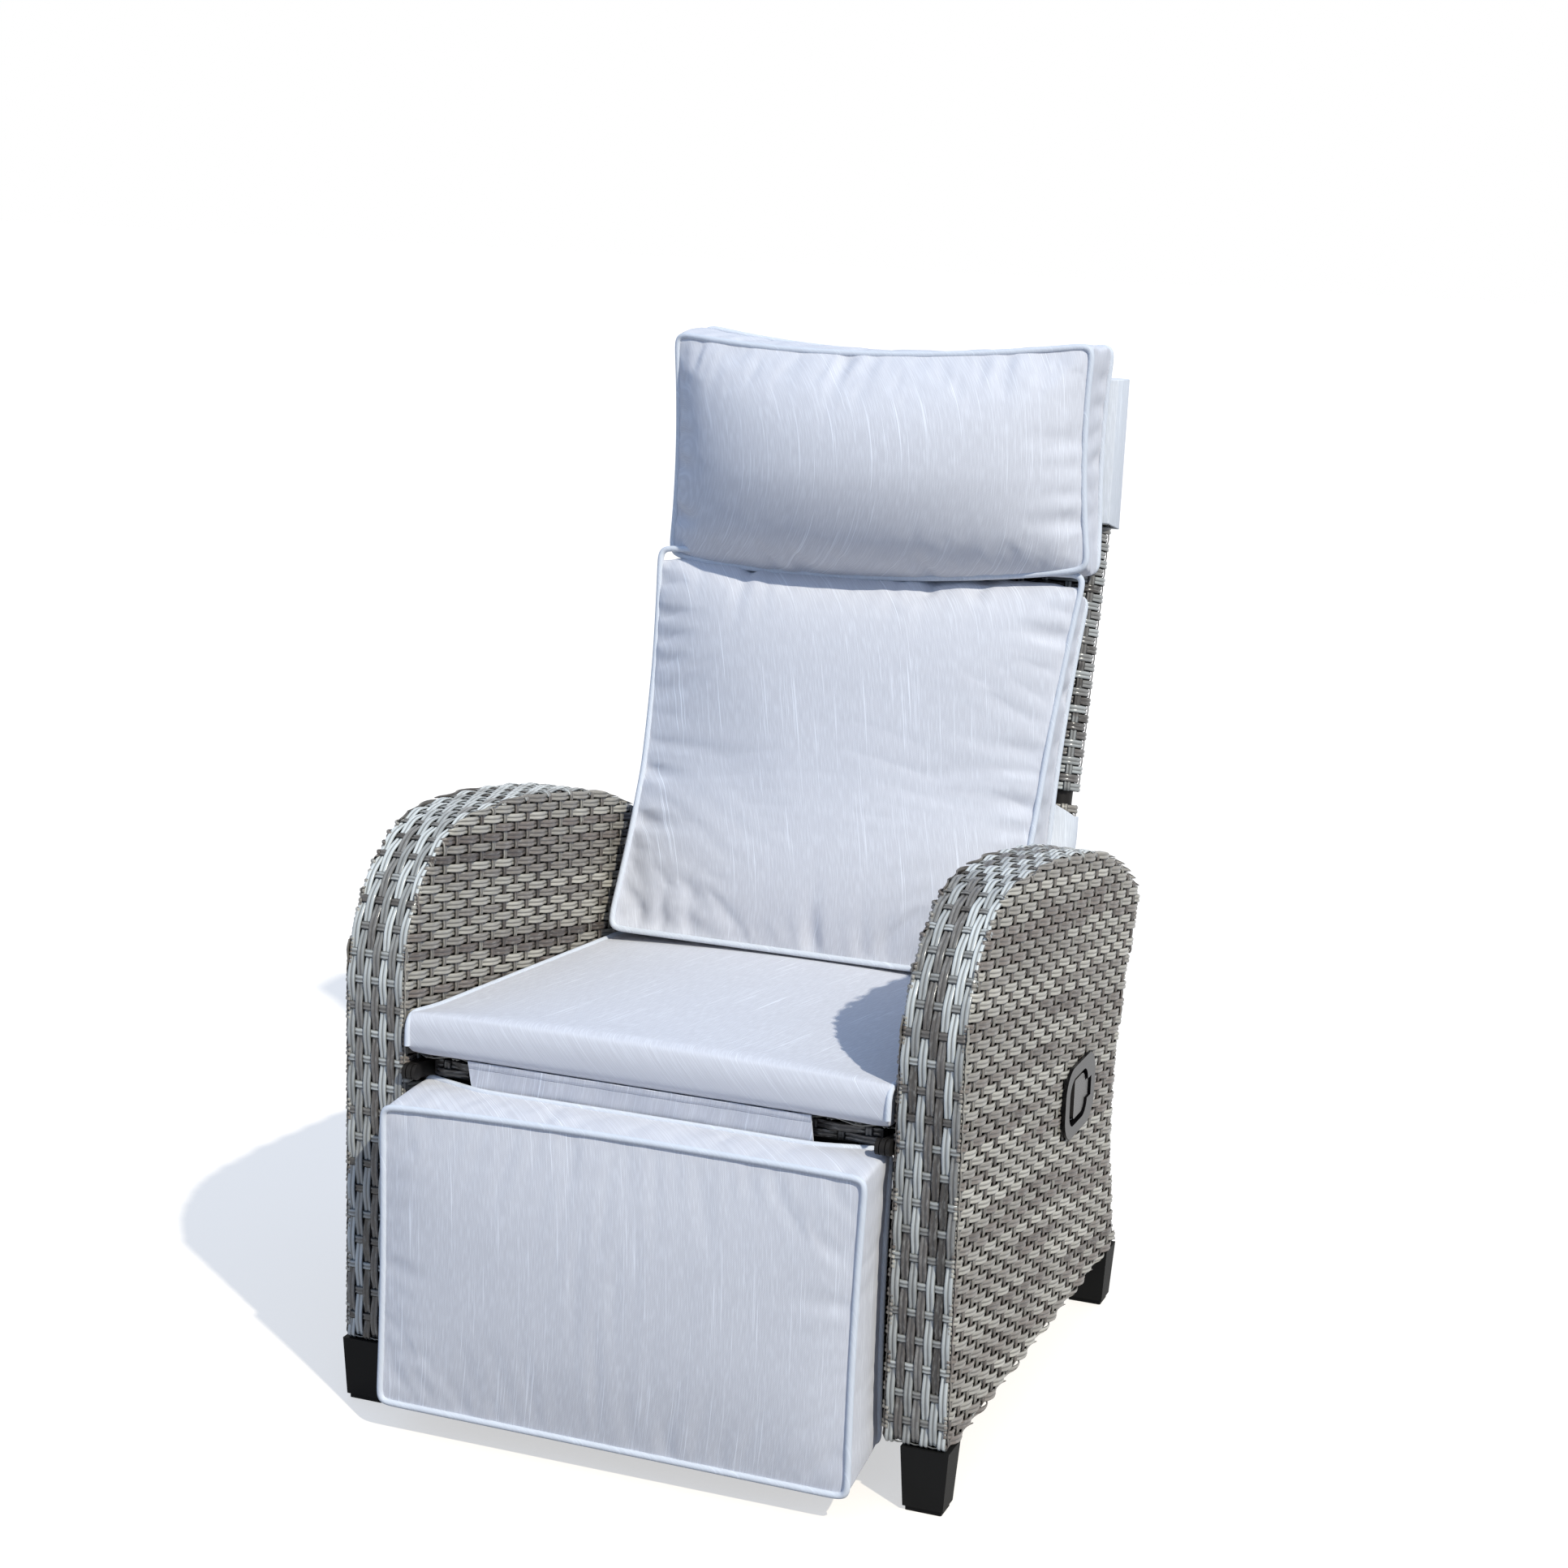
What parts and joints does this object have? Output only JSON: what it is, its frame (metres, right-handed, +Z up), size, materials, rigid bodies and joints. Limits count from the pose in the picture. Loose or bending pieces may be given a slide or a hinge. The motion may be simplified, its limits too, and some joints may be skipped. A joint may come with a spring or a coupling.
{
  "type": "reclining patio armchair",
  "caption": "Reclining patio armchair with woven arms, crowned cushions, a head cushion, a leaning back and a leg rest that lifts with it.",
  "frame": {"origin": "middle of the chair's overall length and width, on the floor", "axes": "+Z up, the sitter faces -Y, +X is the side of the sitter's left arm, which holds the release handle"},
  "size_m": [0.674, 0.8373, 1.092],
  "materials": {
    "frame_steel": "satin",
    "wicker": "satin",
    "cushion_cloth": "woven",
    "black_plastic": "matt",
    "bolt_steel": "plain",
    "handle_plate": "gloss",
    "handle_paddle": "satin",
    "black_paint": "gloss",
    "cable_sheath": "matt"
  },
  "bodies": {
    "chair": {"arm_frame_left": "frame_steel", "arm_frame_right": "frame_steel", "arm_outer_weave_left": "wicker", "arm_outer_weave_right": "wicker", "arm_inner_weave_left": "wicker", "arm_inner_weave_right": "wicker", "arm_band_weave_left": "wicker", "arm_band_weave_right": "wicker", "front_foot_left": "black_plastic", "front_foot_right": "black_plastic", "rear_foot_left": "black_plastic", "rear_foot_right": "black_plastic", "foot_glides": "black_plastic", "foot_bolts": "bolt_steel", "seat_front_rail": "frame_steel", "seat_rear_rail": "frame_steel", "seat_side_rail_left": "frame_steel", "seat_side_rail_right": "frame_steel", "seat_front_lip": "frame_steel", "seat_weave": "wicker", "seat_apron_weave": "wicker", "seat_bolts": "bolt_steel", "base_front_tube": "frame_steel", "base_rear_tube": "frame_steel", "strut_cross_tube": "frame_steel", "strut_ears": "frame_steel", "strut_front_pin": "bolt_steel", "back_hinge_brackets": "frame_steel", "leg_hinge_brackets": "frame_steel", "leg_pivot_bolts": "bolt_steel", "seat_cushion": "cushion_cloth", "seat_leg_flap": "cushion_cloth", "handle_bezel": "handle_plate", "handle_pin": "bolt_steel", "handle_spring": "bolt_steel", "release_cable": "cable_sheath"},
    "handle": {"handle_lever": "handle_paddle"},
    "back": {"back_frame": "frame_steel", "back_front_weave": "wicker", "back_rear_weave": "wicker", "back_edge_weave_left": "wicker", "back_edge_weave_right": "wicker", "back_lever_plates": "frame_steel", "back_pivot_studs": "bolt_steel", "link_rear_pins": "bolt_steel", "strut_lever": "frame_steel", "strut_rear_pin": "bolt_steel", "back_cushion": "cushion_cloth", "head_cushion": "cushion_cloth", "head_hood": "cushion_cloth", "back_strap": "cushion_cloth"},
    "leg_rest": {"leg_frame": "frame_steel", "leg_weave": "wicker", "leg_hinge_plates": "frame_steel", "link_front_pins": "bolt_steel", "leg_cushion": "cushion_cloth"},
    "push_links": {"push_links": "frame_steel"},
    "strut_rod": {"strut_rod": "bolt_steel"},
    "strut_cylinder": {"strut_cylinder": "black_paint"}
  },
  "joints": [
    {"name": "back_recline", "type": "hinge", "parent": "chair", "child": "back", "pos_m": [0, 0.233, 0.334], "axis": [-1, 0, 0], "range_deg": [0, 45]},
    {"name": "leg_rest_lift", "type": "hinge", "parent": "chair", "child": "leg_rest", "pos_m": [0, -0.343, 0.373], "axis": [-1, 0, 0], "range_deg": [0, 77]},
    {"name": "push_link_swing", "type": "hinge", "parent": "back", "child": "push_links", "pos_m": [0, 0.29013, 0.24258], "axis": [-1, 0, 0], "range_deg": [-46, 0]},
    {"name": "strut_swing", "type": "hinge", "parent": "chair", "child": "strut_rod", "pos_m": [0, -0.143, 0.2], "axis": [-1, 0, 0], "range_deg": [-1.5, 0]},
    {"name": "strut_travel", "type": "slide", "parent": "strut_rod", "child": "strut_cylinder", "axis": [0, -0.9814, -0.1921], "range_m": [0, 0.046]},
    {"name": "handle_pull", "type": "hinge", "parent": "chair", "child": "handle", "pos_m": [0.33, 0.105, 0.312], "axis": [0, 0, 1], "range_deg": [0, 22], "stiffness_Nm_per_rad": 0.12, "springref_deg": -5.73}
  ],
  "couplings": [
    {"joint": "leg_rest_lift", "follows": "back_recline", "ratio": 1.7},
    {"joint": "push_link_swing", "follows": "back_recline", "ratio": -1.0103},
    {"joint": "strut_swing", "follows": "back_recline", "ratio": -0.0257},
    {"joint": "strut_travel", "follows": "back_recline", "m_per_rad": 0.0576}
  ]
}
